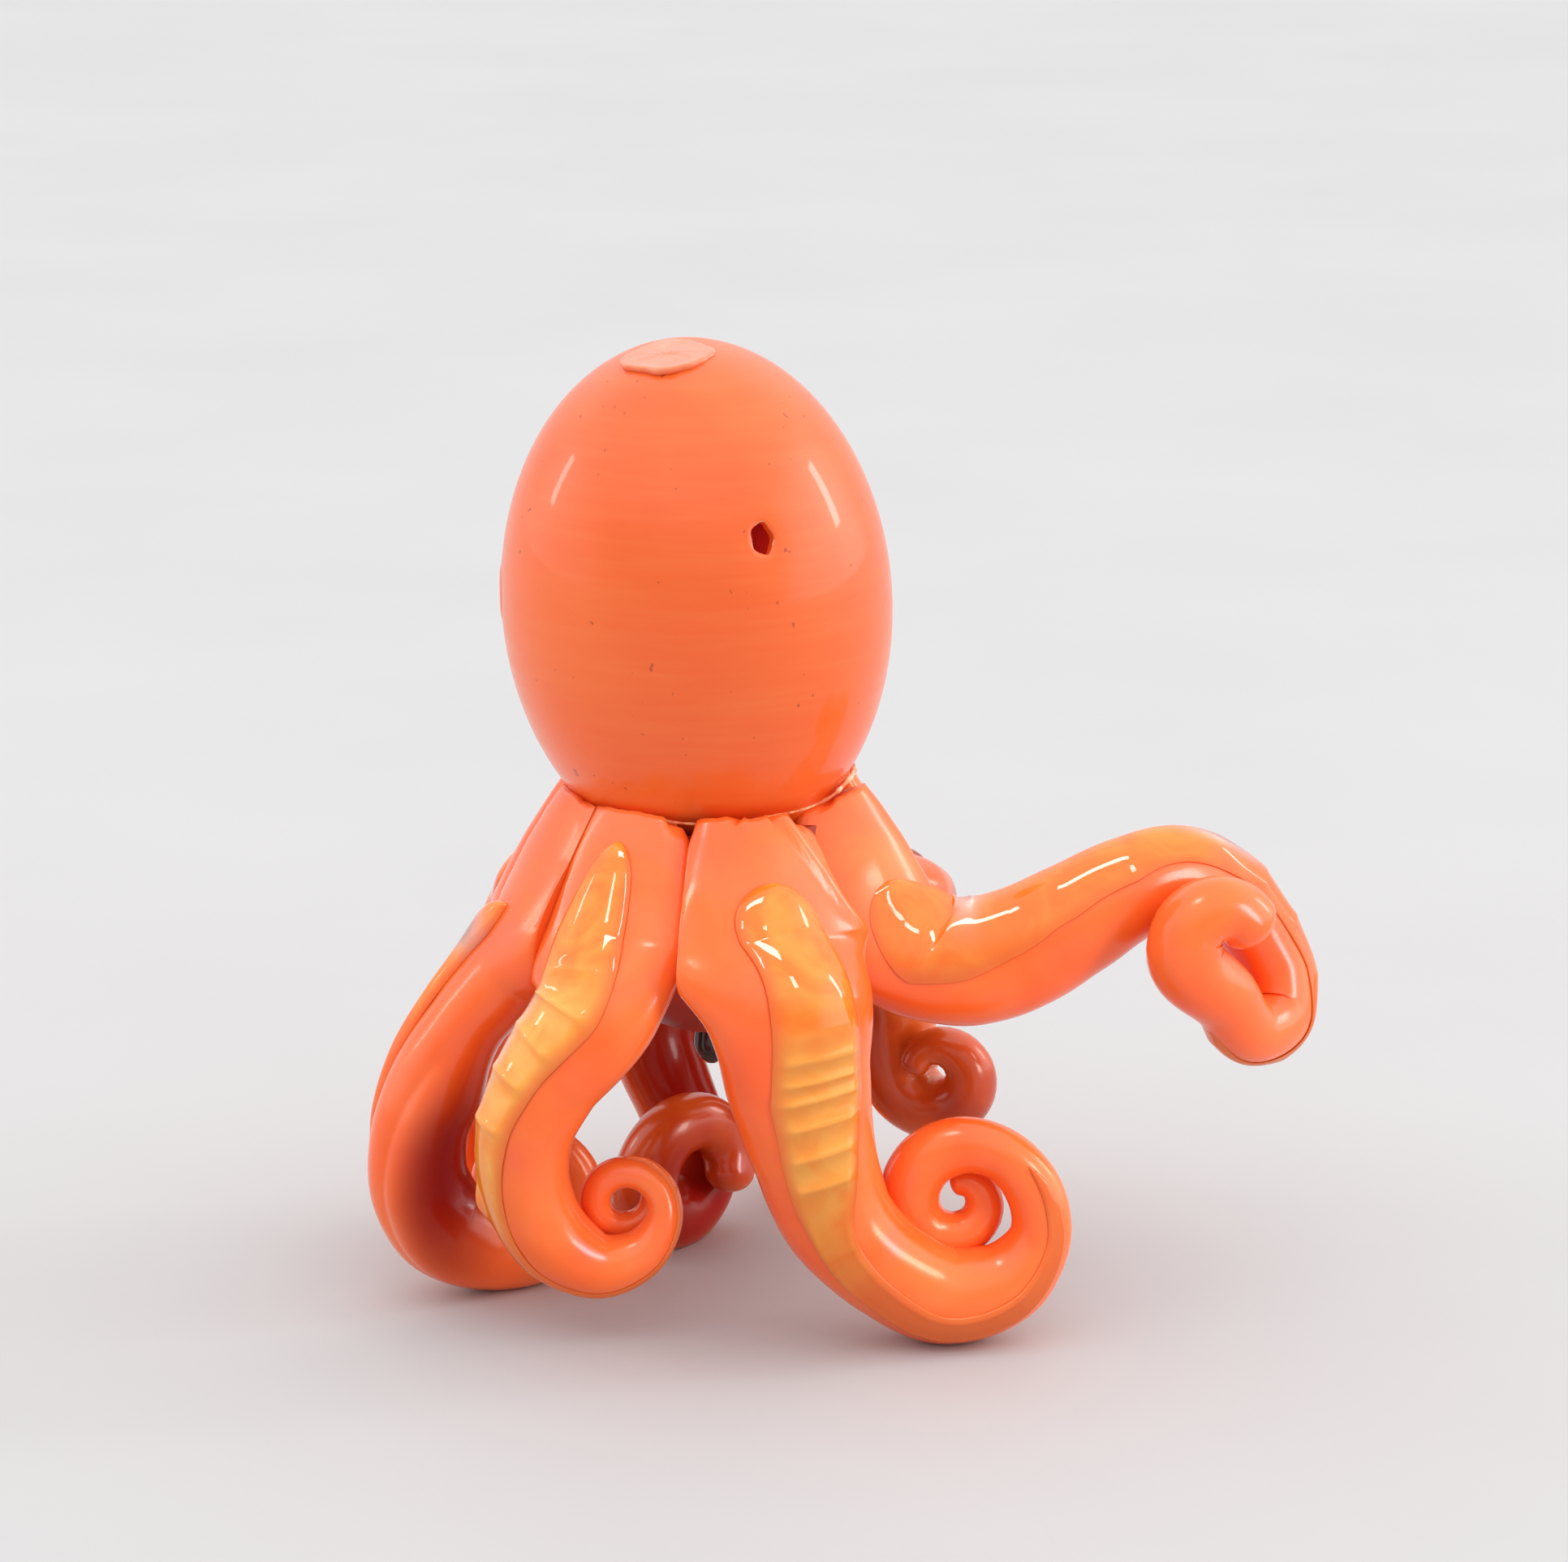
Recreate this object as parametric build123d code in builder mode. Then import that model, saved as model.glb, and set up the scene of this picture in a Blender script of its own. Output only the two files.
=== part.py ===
"""Glass octopus figurine: a blown head on eight curled arms, in millimetres, +Z up."""
import math
import os
from dataclasses import dataclass
from build123d import *

# Head: an egg of blown glass that leans to the left
HEAD_WIDTH = 95.6
HEAD_HEIGHT = 129.2
HEAD_WALL = 4.6
HEAD_LEAN = 4.2
HEAD_SINK = 19.5
EYE_HOLE = 6.2
# Eye holes: turn about the head's axis in degrees, and height as a share of the head's half height
EYE_PLACE_SHARES = ((-66.0, 0.38), (181.0, 0.09))
# Seal on the top, set a little to the front and the left of the pole
SEAL_WIDTH = 22.0
SEAL_THICKNESS = 2.4
SEAL_TILT_FRONT = 7.0
SEAL_TILT_LEFT = 2.0

# Crown: the ring where the arms meet the head, and the core between the arm roots
CROWN_HEIGHT = 130.0
CROWN_RADIUS = 36.0
GLUE = 1.0
BEAD = 3.0
FIT = 0.25
SEAM = 0.3
SEAT_SHARE = 0.54
HUB_RADIUS = 37.0
HUB_DEPTH = 64.0
BEAK_WIDTH = 9.0
BEAK_LENGTH = 13.0

# Arms: spread of the standing arms, thickest diameter, strip size, ground flats
ARM_SPREAD = 100.0
ARM_GIRTH = 25.0
STRIP_WIDTH = 24.0
STRIP_THICKNESS = 4.2
STRIP_FIT = 0.45
STRIP_END_SHARE = 0.5
FOOT_FLAT = 0.5
STATION_STEP = 8.0
COIL_STEP = 36.0
# Root rows shared by all arms: radius share of the crown, height share, thickness share of the girth
ROOT_SHARES = ((0.92, 0.99, 0.36), (1.09, 0.88, 0.58), (1.28, 0.76, 0.8))
# Rounded tip: steps along and width left, as shares of the last half width
TIP_SHARES = ((0.5, 0.87), (0.85, 0.53), (0.97, 0.24))
# Points across a strip's seat, as shares of its half width
SEAT_STEP_SHARES = (-1.0, -0.5, 0.0, 0.5, 1.0)
# The back of an arm is a little flatter than its strip side
BACK_SHARE = 0.9
# Zone round the hub in which each arm keeps to its own sector
SECTOR_RADIUS_SHARE = 1.7
SECTOR_BOTTOM_SHARE = 0.57


@dataclass
class Arm:
    """One arm: way points as shares of the spread and crown height, then a coil."""
    name: str
    turn: float
    root_width_shares: tuple
    way_shares: tuple
    coil_centre_shares: tuple
    coil_axis: tuple
    coil_radius_shares: tuple
    coil_ease: float
    coil_start: float
    coil_turns: float
    coil_shift_share: float
    coil_girth_shares: tuple
    rolls: tuple
    strip_shares: tuple
    stands: bool


@dataclass
class Row:
    """One station of an arm: share along it, blend to the coil, place, directions and half sizes."""
    share: float
    turned: float
    place: Vector
    tangent: Vector
    out: Vector
    side: Vector
    wide: float
    thick: float


# Rows of way_shares: x, y of the spread, z of the crown height, width and thickness of the girth
ARMS = (
    Arm("front", -73.0, (1.12, 1.75, 2.36),
        ((0.195, -0.52, 0.66, 1.84, 0.96), (0.215, -0.53, 0.53, 1.5, 1.0), (0.25, -0.53, 0.395, 1.24, 1.0),
         (0.316, -0.51, 0.255, 1.12, 1.0), (0.43, -0.49, 0.16, 1.04, 1.0), (0.584, -0.47, 0.1, 1.0, 1.0),
         (0.73, -0.46, 0.13, 0.84, 0.84)),
        (0.605, -0.45, 0.27), (0, -1, 0), (0.21, 0.04), 0.7, -18.0, 1.28, -0.06, (0.62, 0.2),
        (10.0, 62.0, 62.0), (0.048, 0.72), True),
    Arm("front_left", -121.0, (1.04, 1.6, 1.9),
        ((-0.275, -0.48, 0.65, 1.5, 0.95), (-0.385, -0.5, 0.523, 1.2, 0.94),
         (-0.44, -0.5, 0.412, 1.0, 0.92), (-0.432, -0.49, 0.298, 0.9, 0.88),
         (-0.365, -0.48, 0.2, 0.82, 0.82), (-0.257, -0.47, 0.155, 0.64, 0.64),
         (-0.162, -0.46, 0.181, 0.48, 0.48)),
        (-0.203, -0.45, 0.259), (0, -1, 0), (0.088, 0.056), 1.0, -5.0, 1.2, -0.09, (0.34, 0.18),
        (0.0, 5.0, 10.0), (0.1, 0.8), False),
    Arm("left", -154.0, (1.0, 1.5, 1.7),
        ((-0.49, -0.18, 0.658, 1.2, 0.88), (-0.59, -0.18, 0.56, 1.04, 0.84),
         (-0.685, -0.18, 0.452, 1.0, 0.8),
         (-0.744, -0.17, 0.328, 0.96, 0.76), (-0.743, -0.15, 0.212, 0.96, 0.76),
         (-0.686, -0.13, 0.125, 0.94, 0.78), (-0.583, -0.1, 0.08, 0.88, 0.8)),
        (-0.45, -0.04, 0.175), (0.35, -0.94, 0), (0.13, 0.08), 1.0, -62.0, 0.72, -0.16, (0.72, 0.3),
        (0.0, -33.0, -66.0), (0.15, 0.74), True),
    Arm("right", -20.5, (1.04, 1.6, 1.9),
        ((0.507, -0.16, 0.69, 1.4, 1.16), (0.627, -0.16, 0.665, 1.26, 1.26), (0.768, -0.15, 0.69, 1.2, 1.26),
         (0.9, -0.14, 0.744, 1.12, 1.16), (1.03, -0.11, 0.797, 1.02, 1.04), (1.15, -0.06, 0.818, 0.94, 0.94),
         (1.252, -0.02, 0.785, 0.88, 0.88), (1.345, 0.0, 0.7, 0.82, 0.82), (1.4, -0.005, 0.61, 0.78, 0.78),
         (1.4, -0.05, 0.545, 0.74, 0.74), (1.335, -0.14, 0.535, 0.7, 0.7), (1.26, -0.225, 0.62, 0.66, 0.66)),
        (1.24, -0.28, 0.735), (-0.2, 0.98, 0), (0.084, 0.084), 1.0, -8.0, 0.42, 0.0, (0.57, 0.46),
        (-38.0, -19.0, 0.0), (0.12, 0.9), False),
    Arm("rear_right", 28.0, (1.0, 1.36, 1.4),
        ((0.5, 0.38, 0.65, 1.0, 0.84), (0.48, 0.48, 0.545, 0.92, 0.84), (0.46, 0.485, 0.445, 0.8, 0.78)),
        (0.59, 0.42, 0.333), (-0.35, -0.94, 0), (0.125, 0.045), 1.3, 185.0, 0.9, 0.12, (0.68, 0.25),
        (0.0, 10.0, 20.0), (0.16, 0.8), False),
    Arm("rear", 68.0, (1.0, 1.36, 1.4),
        ((0.23, 0.63, 0.62, 1.0, 0.88), (0.26, 0.73, 0.47, 0.94, 0.86), (0.27, 0.77, 0.32, 0.86, 0.82)),
        (0.27, 0.6, 0.19), (-1, 0, 0), (0.17, 0.05), 0.85, 170.0, 1.05, 0.03, (0.64, 0.2),
        (0.0, 0.0, 0.0), (0.16, 0.6), True),
    Arm("rear_left", 107.0, (1.0, 1.46, 1.56),
        ((-0.18, 0.52, 0.615, 1.0, 0.88), (-0.165, 0.54, 0.475, 0.96, 0.88),
         (-0.15, 0.53, 0.335, 0.94, 0.86), (-0.08, 0.47, 0.2, 0.84, 0.8)),
        (-0.13, 0.28, 0.17), (-0.77, 0.64, 0), (0.16, 0.09), 1.0, 215.0, 0.96, -0.16, (0.7, 0.42),
        (0.0, 36.0, 72.0), (0.16, 0.86), True),
    Arm("left_rear", 148.0, (1.0, 1.5, 1.6),
        ((-0.46, 0.37, 0.645, 1.0, 0.88), (-0.56, 0.43, 0.5, 0.94, 0.86), (-0.645, 0.46, 0.345, 0.86, 0.82)),
        (-0.53, 0.345, 0.19), (-0.7, -0.72, 0), (0.17, 0.05), 0.85, 172.0, 1.05, 0.03, (0.64, 0.2),
        (0.0, 0.0, 0.0), (0.16, 0.6), True),
)


def coil_rows(arm):
    """Way rows of a coil that tightens from its first to its last radius."""
    axis = Vector(*arm.coil_axis).normalized()
    rise = Vector(0, 0, 1)
    across = rise.cross(axis)
    centre = Vector(arm.coil_centre_shares[0] * ARM_SPREAD, arm.coil_centre_shares[1] * ARM_SPREAD,
                    arm.coil_centre_shares[2] * CROWN_HEIGHT)
    first, last = (share * ARM_SPREAD for share in arm.coil_radius_shares)
    thick, thin = (share * ARM_GIRTH / 2 for share in arm.coil_girth_shares)
    count = round(360 * arm.coil_turns / COIL_STEP)
    rows = []
    for step in range(count + 1):
        share = step / count
        angle = math.radians(arm.coil_start + 360 * arm.coil_turns * share)
        radius = first + (last - first) * share ** arm.coil_ease
        half = thick * (thin / thick) ** share
        place = centre + across * (radius * math.cos(angle)) + rise * (radius * math.sin(angle))
        place += axis * (arm.coil_shift_share * ARM_SPREAD * arm.coil_turns * share)
        rows.append((*place, half, half))
    return rows


def way_rows(arm):
    """Rows of an arm above its coil: place, half width and half thickness."""
    heading = Vector(math.cos(math.radians(arm.turn)), math.sin(math.radians(arm.turn)), 0)
    half = ARM_GIRTH / 2
    rows = []
    for (radius, height, thick), wide in zip(ROOT_SHARES, arm.root_width_shares):
        place = heading * (radius * CROWN_RADIUS) + Vector(0, 0, height * CROWN_HEIGHT)
        rows.append((*place, wide * half, thick * half))
    for x, y, z, wide, thick in arm.way_shares:
        rows.append((x * ARM_SPREAD, y * ARM_SPREAD, z * CROWN_HEIGHT, wide * half, thick * half))
    return rows


def stations(arm):
    """Closely spaced rows along a smooth curve through the way rows, and the share where the coil starts."""
    ways = way_rows(arm)
    rows = ways + coil_rows(arm)
    gaps = [math.dist(here[:3], there[:3]) for here, there in zip(rows, rows[1:])]
    steps = [[(q - p) / gap for p, q in zip(here, there)] for here, there, gap in zip(rows, rows[1:], gaps)]
    slopes = [[(p * far + q * near) / (near + far) for p, q in zip(before, after)]
              for before, after, near, far in zip(steps, steps[1:], gaps, gaps[1:])]
    slopes.insert(0, [2 * p - q for p, q in zip(steps[0], slopes[0])])
    slopes.append([2 * p - q for p, q in zip(steps[-1], slopes[-1])])
    spread = []
    run = 0
    for here, there, start, end, gap in zip(rows, rows[1:], slopes, slopes[1:], gaps):
        count = max(1, round(gap / STATION_STEP))
        for k in range(count):
            t = k / count
            row = [(2 * t ** 3 - 3 * t ** 2 + 1) * p + (3 * t ** 2 - 2 * t ** 3) * q
                   + gap * ((t ** 3 - 2 * t ** 2 + t) * u + (t ** 3 - t ** 2) * v)
                   for p, q, u, v in zip(here, there, start, end)]
            rate = [6 * (t ** 2 - t) * (p - q) / gap
                    + (3 * t ** 2 - 4 * t + 1) * u + (3 * t ** 2 - 2 * t) * v
                    for p, q, u, v in zip(here, there, start, end)]
            place = Vector(*row[:3])
            tangent = Vector(*rate[:3]).normalized()
            spread.append(((run + t * gap) / sum(gaps), place, tangent, *row[3:]))
        run += gap
    spread.append((1, Vector(*rows[-1][:3]), Vector(*slopes[-1][:3]).normalized(), *rows[-1][3:]))
    return spread, sum(gaps[:len(ways)]) / sum(gaps)


def smooth(share):
    """Soft step from 0 to 1."""
    share = min(1, max(0, share))
    return share * share * (3 - 2 * share)


def framed(arm):
    """Stations with the direction of the strip side, set down on the floor where the arm stands."""
    spread, coil_share = stations(arm)
    heading = Vector(math.cos(math.radians(arm.turn)), math.sin(math.radians(arm.turn)), 0)
    root_side = heading.cross(spread[0][2]).normalized()
    axis = Vector(*arm.coil_axis).normalized()
    first_roll, middle_roll, last_roll = arm.rolls
    rows = []
    for share, place, tangent, wide, thick in spread:
        turned = smooth(share / coil_share)
        side = root_side * (1 - turned) + axis * turned
        side = (side - tangent * side.dot(tangent)).normalized()
        roll = math.radians(first_roll * (1 - turned) ** 2 + 2 * middle_roll * turned * (1 - turned)
                            + last_roll * turned ** 2)
        out = tangent.cross(side) * math.cos(roll) + side * math.sin(roll)
        rows.append(Row(share, turned, place, tangent, out, tangent.cross(out), wide, thick))
    if arm.stands:
        low = min(row.place.Z - math.hypot(row.wide * row.side.Z,
                                           row.thick * row.out.Z * (1 if row.out.Z < 0 else BACK_SHARE))
                  for row in rows)
        for row in rows:
            row.place -= Vector(0, 0, (low + FOOT_FLAT) * row.turned)
    return rows


def section_plane(row, ahead=0):
    """Plane across the arm: local x runs along its width, local y to the strip side."""
    return Plane(origin=row.place + row.tangent * ahead, x_dir=row.out.cross(row.tangent), z_dir=row.tangent)


head_half_height = HEAD_HEIGHT / 2
head_half_width = HEAD_WIDTH / 2
head_centre_height = CROWN_HEIGHT - HEAD_SINK + head_half_height
head_place = (Pos(0, 0, CROWN_HEIGHT) * Rot(0, -HEAD_LEAN, 0)
              * Pos(0, 0, head_centre_height - CROWN_HEIGHT))
seal_place = Rot(SEAL_TILT_FRONT, -SEAL_TILT_LEFT, 0)
pole_radius = head_half_width ** 2 / head_half_height
seal_depth = (SEAL_WIDTH / 2) ** 2 / (2 * pole_radius)
seal_seat = head_half_height - seal_depth
seal_rise = SEAL_THICKNESS * 2 / 3
seal_round = ((SEAL_WIDTH / 2) ** 2 + seal_rise ** 2) / (2 * seal_rise)


def egg_profile(grow):
    """Right half of the egg's outline, grown by a distance."""
    Ellipse(head_half_width + grow, head_half_height + grow)
    with Locations((-HEAD_WIDTH, 0)):
        Rectangle(2 * HEAD_WIDTH, 2 * HEAD_HEIGHT, mode=Mode.SUBTRACT)


# Head shell with its seat for the seal and two pierced eye holes
with BuildPart() as head_shell:
    with BuildSketch(Plane.XZ):
        egg_profile(0)
    revolve(axis=Axis.Z)
    with Locations(seal_place * Pos(0, 0, seal_seat)):
        Cylinder(HEAD_WIDTH / 2, HEAD_WALL, align=(Align.CENTER, Align.CENTER, Align.MIN),
                 mode=Mode.SUBTRACT)
    with BuildSketch(Plane.XZ):
        egg_profile(-HEAD_WALL)
        Rectangle(2 * HEAD_WIDTH, HEAD_HEIGHT - 3 * HEAD_WALL, mode=Mode.INTERSECT)
    revolve(axis=Axis.Z, mode=Mode.SUBTRACT)
    for turn, height in EYE_PLACE_SHARES:
        with Locations(Rot(0, 0, turn) * Pos(head_half_width, 0, height * head_half_height) * Rot(0, 90, 0)):
            Cylinder(EYE_HOLE / 2, head_half_width, mode=Mode.SUBTRACT)

# Seal: a shallow fire-polished cap on the flat at the top
with BuildPart() as crown_seal:
    with BuildSketch(Plane.XZ):
        with BuildLine():
            rim = Line((SEAL_WIDTH / 2, 0), (SEAL_WIDTH / 2, SEAL_THICKNESS - seal_rise))
            dome = RadiusArc(rim @ 1, (0, SEAL_THICKNESS), -seal_round)
            stem = Line(dome @ 1, (0, 0))
            Line(stem @ 1, rim @ 0)
        make_face()
    revolve(axis=Axis.Z)

# Seat for the head: a shallow cone that its adhesive fills
crown_drop = CROWN_HEIGHT - head_centre_height
neck_radius = head_half_width * math.sqrt(1 - (crown_drop / head_half_height) ** 2)
seat_bottom = -head_half_height - GLUE
seat_bottom_radius = SEAT_SHARE * neck_radius
seat_slope = (neck_radius + GLUE + BEAD / 3 - seat_bottom_radius) / (crown_drop - seat_bottom)


def seat_profile(grow, top, mode=Mode.ADD):
    """Right half of the seat's outline up to a height, grown by a distance."""
    bottom = seat_bottom - grow
    Polygon((0, bottom), (seat_bottom_radius + grow, bottom),
            (seat_bottom_radius + grow + seat_slope * (top - bottom), top), (0, top), align=None, mode=mode)


# Adhesive under the head, with a bead at its upper edge
with BuildPart() as neck_adhesive:
    with BuildSketch(Plane.XZ):
        seat_profile(-FIT, crown_drop)
        with Locations((neck_radius + GLUE, crown_drop)):
            Circle(BEAD / 2)
        seat_profile(-FIT, crown_drop + BEAD, mode=Mode.INTERSECT)
        Ellipse(head_half_width + FIT, head_half_height + FIT, mode=Mode.SUBTRACT)
    revolve(axis=Axis.Z)

# Space that the arms and the core leave for the head and its adhesive
with BuildPart() as head_space:
    with BuildSketch(Plane.XZ):
        seat_profile(0, crown_drop + HEAD_SINK)
    revolve(axis=Axis.Z)
head_cut = head_place * head_space.part


hub_bottom = CROWN_HEIGHT - HUB_DEPTH


def hub_body(grow):
    """Bell-shaped core between the arm roots, grown by a distance."""
    top_height = CROWN_HEIGHT - HEAD_SINK / 3
    with BuildPart() as body:
        with BuildSketch(Plane.XZ):
            with BuildLine():
                bell = Spline((0, hub_bottom - grow),
                              (HUB_RADIUS * 0.6 + grow, hub_bottom + HUB_RADIUS * 0.22 - grow),
                              (HUB_RADIUS + grow, hub_bottom + HUB_RADIUS * 0.85),
                              (HUB_RADIUS * 0.9 + grow, top_height), tangents=((1, 0), (-0.2, 1)))
                top = Line(bell @ 1, (0, top_height))
                Line(top @ 1, bell @ 0)
            make_face()
        revolve(axis=Axis.Z)
    return body.part


hub_space = hub_body(FIT)
with BuildPart() as hub:
    add(hub_body(0))
    add(head_cut, mode=Mode.SUBTRACT)

# Dark drop that hangs under the core
with BuildPart() as beak:
    with BuildSketch(Plane.XZ):
        with BuildLine():
            drop = Spline((0, hub_bottom - BEAK_LENGTH * 0.75),
                          (BEAK_WIDTH / 2, hub_bottom - BEAK_LENGTH * 0.35),
                          (BEAK_WIDTH / 3, hub_bottom + BEAK_LENGTH * 0.25), tangents=((1, 0), (-0.6, 1)))
            lid = Line(drop @ 1, (0, hub_bottom + BEAK_LENGTH * 0.25))
            Line(lid @ 1, drop @ 0)
        make_face()
    revolve(axis=Axis.Z)
    add(hub_space, mode=Mode.SUBTRACT)


def sector_cut(arm):
    """What an arm root must leave free: everything in the zone outside its own sector."""
    turns = sorted(other.turn % 360 for other in ARMS)
    own = turns.index(arm.turn % 360)
    before = (turns[own] + turns[own - 1] - (360 if own == 0 else 0)) / 2
    after = (turns[own] + turns[(own + 1) % len(turns)] + (360 if own == len(turns) - 1 else 0)) / 2
    reach = SECTOR_RADIUS_SHARE * CROWN_RADIUS
    bottom = SECTOR_BOTTOM_SHARE * CROWN_HEIGHT
    corners = [(2 * reach * math.cos(math.radians(turn)), 2 * reach * math.sin(math.radians(turn)))
               for turn in (before, arm.turn % 360, after)]
    inset = SEAM / 2 / math.sin(math.radians(after - before) / 2)
    shift = (inset * math.cos(math.radians(arm.turn)), inset * math.sin(math.radians(arm.turn)))
    with BuildPart() as outside:
        with BuildSketch(Plane.XY.offset(bottom)):
            Circle(reach)
            with Locations(shift):
                Polygon((0, 0), *corners, align=None, mode=Mode.SUBTRACT)
        extrude(amount=CROWN_HEIGHT)
    return outside.part


def arm_part(arm, rows):
    """Solid arm: a loft with a rounded tip, cut to its sector, its seats and the floor."""
    tip = rows[-1]
    with BuildPart() as body:
        for row, ahead, left in [(row, 0, 1) for row in rows] + [(tip, *shares) for shares in TIP_SHARES]:
            wide = row.wide * left
            thick = row.thick * left
            with BuildSketch(section_plane(row, ahead * row.thick)):
                with BuildLine():
                    EllipticalCenterArc((0, 0), wide, thick, 0, arc_size=180)
                    EllipticalCenterArc((0, 0), wide, thick * BACK_SHARE, 180, arc_size=180)
                make_face()
        loft()
        add(head_cut, mode=Mode.SUBTRACT)
        add(hub_space, mode=Mode.SUBTRACT)
        add(sector_cut(arm), mode=Mode.SUBTRACT)
        Box(4 * ARM_SPREAD, 4 * ARM_SPREAD, ARM_SPREAD, align=(Align.CENTER, Align.CENTER, Align.MAX),
            mode=Mode.SUBTRACT)
    return max(body.solids(), key=lambda solid: solid.volume)


def strip_part(arm, rows):
    """Clear strip: a lens seated on the outer face of its arm, thin at both ends."""
    first, last = arm.strip_shares
    with BuildPart() as lens:
        for row in (row for row in rows if first <= row.share <= last):
            along = (row.share - first) / (last - first)
            swell = 0.25 + 0.75 * math.sin(math.pi * (0.06 + 0.88 * along)) ** 0.3
            half = min(STRIP_WIDTH / 2, (0.72 - 0.2 * row.turned) * row.wide) * swell
            rise = STRIP_THICKNESS * swell * (1 - (1 - STRIP_END_SHARE) * row.turned)
            wide = row.wide + STRIP_FIT
            thick = row.thick + STRIP_FIT
            seat = [(x * half, thick * math.sqrt(1 - (x * half / wide) ** 2)) for x in SEAT_STEP_SHARES]
            with BuildSketch(section_plane(row)):
                with BuildLine():
                    bed = Spline(*seat)
                    ThreePointArc(bed @ 1, (0, thick + rise), bed @ 0)
                make_face()
        loft()
    return lens.part


pieces = {
    "head_shell": head_place * head_shell.part,
    "crown_seal": head_place * seal_place * Pos(0, 0, seal_seat + FIT) * crown_seal.part,
    "neck_adhesive": head_place * neck_adhesive.part,
    "hub": hub.part,
    "beak": beak.part,
}
for arm in ARMS:
    rows = framed(arm)
    pieces["arm_" + arm.name] = arm_part(arm, rows)
    pieces["strip_" + arm.name] = strip_part(arm, rows)

# Set the whole figure down with its middle over the origin
boxes = [piece.bounding_box() for piece in pieces.values()]
centred = Pos(-(min(box.min.X for box in boxes) + max(box.max.X for box in boxes)) / 2,
              -(min(box.min.Y for box in boxes) + max(box.max.Y for box in boxes)) / 2, 0)
os.makedirs("parts", exist_ok=True)
for name, piece in pieces.items():
    placed = centred * piece
    placed.label = name
    export_step(placed, f"parts/{name}.step")
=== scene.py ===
"""Glass octopus figurine: looks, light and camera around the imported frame, in metres."""
import math
from collections import namedtuple
import bpy
import numpy as np
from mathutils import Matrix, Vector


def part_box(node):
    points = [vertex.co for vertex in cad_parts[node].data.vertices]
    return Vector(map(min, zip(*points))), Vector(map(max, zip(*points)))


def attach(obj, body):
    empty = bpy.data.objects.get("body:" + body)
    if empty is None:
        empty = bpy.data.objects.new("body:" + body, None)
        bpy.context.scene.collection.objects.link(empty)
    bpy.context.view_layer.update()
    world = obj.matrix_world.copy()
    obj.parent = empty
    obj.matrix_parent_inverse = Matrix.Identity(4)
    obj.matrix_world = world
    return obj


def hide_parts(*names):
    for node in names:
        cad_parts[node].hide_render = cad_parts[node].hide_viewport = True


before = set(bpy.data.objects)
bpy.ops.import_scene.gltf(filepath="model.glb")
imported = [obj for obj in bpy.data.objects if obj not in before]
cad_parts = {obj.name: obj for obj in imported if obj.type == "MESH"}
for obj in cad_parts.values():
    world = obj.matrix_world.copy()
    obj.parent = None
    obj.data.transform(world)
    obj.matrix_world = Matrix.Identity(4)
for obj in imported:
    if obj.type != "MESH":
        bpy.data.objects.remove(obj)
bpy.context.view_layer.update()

MM = 0.001
hub_low, hub_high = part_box("hub")
AXIS_X = (hub_low.x + hub_high.x) / 2
AXIS_Y = (hub_low.y + hub_high.y) / 2

# Sizes shared with the solids, in millimetres
HEAD_WIDTH = 95.6
HEAD_HEIGHT = 129.2
HEAD_LEAN = 4.2
HEAD_SINK = 19.5
EYE_HOLE = 6.2
EYE_PLACES = ((-66.0, 0.36), (181.0, 0.09))
SEAL_WIDTH = 22.0
SEAL_TILT_FRONT = 7.0
SEAL_TILT_LEFT = 2.0
CROWN_HEIGHT = 130.0
CROWN_RADIUS = 36.0
HUB_BOTTOM = 66.0
BEAK_WIDTH = 9.0
BEAK_LENGTH = 13.0
ARM_SPREAD = 100.0
ARM_GIRTH = 25.0
STRIP_WIDTH = 24.0
STRIP_THICKNESS = 4.2
STRIP_FIT = 0.45
STRIP_END_SHARE = 0.5
FOOT_FLAT = 0.5
COIL_STEP = 36.0
SEAM = 0.3
ROOT_SHARES = ((0.92, 0.99, 0.36), (1.09, 0.88, 0.58), (1.28, 0.76, 0.8))
BACK_SHARE = 0.9
SECTOR_RADIUS_SHARE = 1.7
SECTOR_BOTTOM_SHARE = 0.57

# An arm, with lengths as shares: turn of its root in degrees, root half widths, way points (x, y, height,
# half width, half thickness), its coil (centre, axis, first and last radius, ease, start angle, turns,
# shift along the axis, first and last girth), rolls in degrees, both ends of its strip, if it stands
Arm = namedtuple("Arm", ("name", "turn", "root_widths", "ways", "centre", "axis", "radii", "ease", "start",
                         "turns", "shift", "girths", "rolls", "strip", "stands"))

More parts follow.
